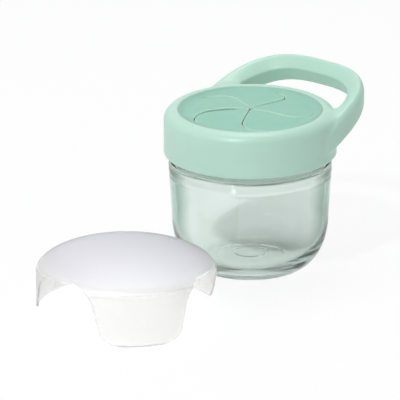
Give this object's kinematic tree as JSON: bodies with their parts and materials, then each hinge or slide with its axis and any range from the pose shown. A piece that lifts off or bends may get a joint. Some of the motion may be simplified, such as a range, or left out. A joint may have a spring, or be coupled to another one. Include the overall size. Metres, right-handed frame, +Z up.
{
  "type": "toddler snack container",
  "caption": "Clear screw-top cup with a collar and carry loop, a soft lid with swirl flaps that a small hand pushes through, and a loose travel cover.",
  "frame": {"origin": "middle of the cup's flat base, on the surface that it stands on", "axes": "+Z up along the cup's axis; +Y towards the carry loop; the travel cover stands on the same surface towards -Y"},
  "size_m": [0.0933, 0.2085, 0.0963],
  "materials": {
    "clear_plastic": "clear, polished",
    "mint_plastic": "satin, moulded",
    "mint_silicone": "soft matte silicone",
    "frosted_plastic": "frosted, translucent"
  },
  "bodies": {
    "cup": {"cup": "clear_plastic"},
    "insert": {"flap_ring": "mint_silicone"},
    "collar": {"screw_collar": "mint_plastic", "carry_loop": "mint_plastic"},
    "flap_1": {"flap_1": "mint_silicone"},
    "flap_2": {"flap_2": "mint_silicone"},
    "flap_3": {"flap_3": "mint_silicone"},
    "flap_4": {"flap_4": "mint_silicone"},
    "flap_5": {"flap_5": "mint_silicone"},
    "cover": {"travel_cover": "frosted_plastic"}
  },
  "joints": [
    {"name": "lid_rise", "type": "slide", "parent": "cup", "child": "insert", "axis": [0, 0, 1], "range_m": [0, 0.024]},
    {"name": "collar_twist", "type": "hinge", "parent": "insert", "child": "collar", "pos_m": [0, 0, 0.0732], "axis": [0, 0, 1], "range_deg": [0, 720]},
    {"name": "flap_1_bend", "type": "hinge", "parent": "insert", "child": "flap_1", "pos_m": [0.01385, 0.02268, 0.0832], "axis": [0.9554, -0.2953, 0], "range_deg": [-30, 70], "stiffness_Nm_per_rad": 0.012},
    {"name": "flap_2_bend", "type": "hinge", "parent": "insert", "child": "flap_2", "pos_m": [-0.01729, 0.02018, 0.0832], "axis": [0.5761, 0.8174, 0], "range_deg": [-30, 70], "stiffness_Nm_per_rad": 0.012},
    {"name": "flap_3_bend", "type": "hinge", "parent": "insert", "child": "flap_3", "pos_m": [-0.02454, -0.01021, 0.0832], "axis": [-0.5993, 0.8005, 0], "range_deg": [-30, 70], "stiffness_Nm_per_rad": 0.012},
    {"name": "flap_4_bend", "type": "hinge", "parent": "insert", "child": "flap_4", "pos_m": [0.00213, -0.02649, 0.0832], "axis": [-0.9465, -0.3226, 0], "range_deg": [-30, 70], "stiffness_Nm_per_rad": 0.012},
    {"name": "flap_5_bend", "type": "hinge", "parent": "insert", "child": "flap_5", "pos_m": [0.02585, -0.00616, 0.0832], "axis": [0.0144, -0.9999, 0], "range_deg": [-30, 70], "stiffness_Nm_per_rad": 0.012},
    {"name": "cover_lift", "type": "slide", "parent": "cup", "child": "cover", "axis": [0, 0, 1], "range_m": [0, 0.12]}
  ],
  "couplings": [
    {"joint": "lid_rise", "follows": "collar_twist", "m_per_rad": 0.0019099}
  ]
}
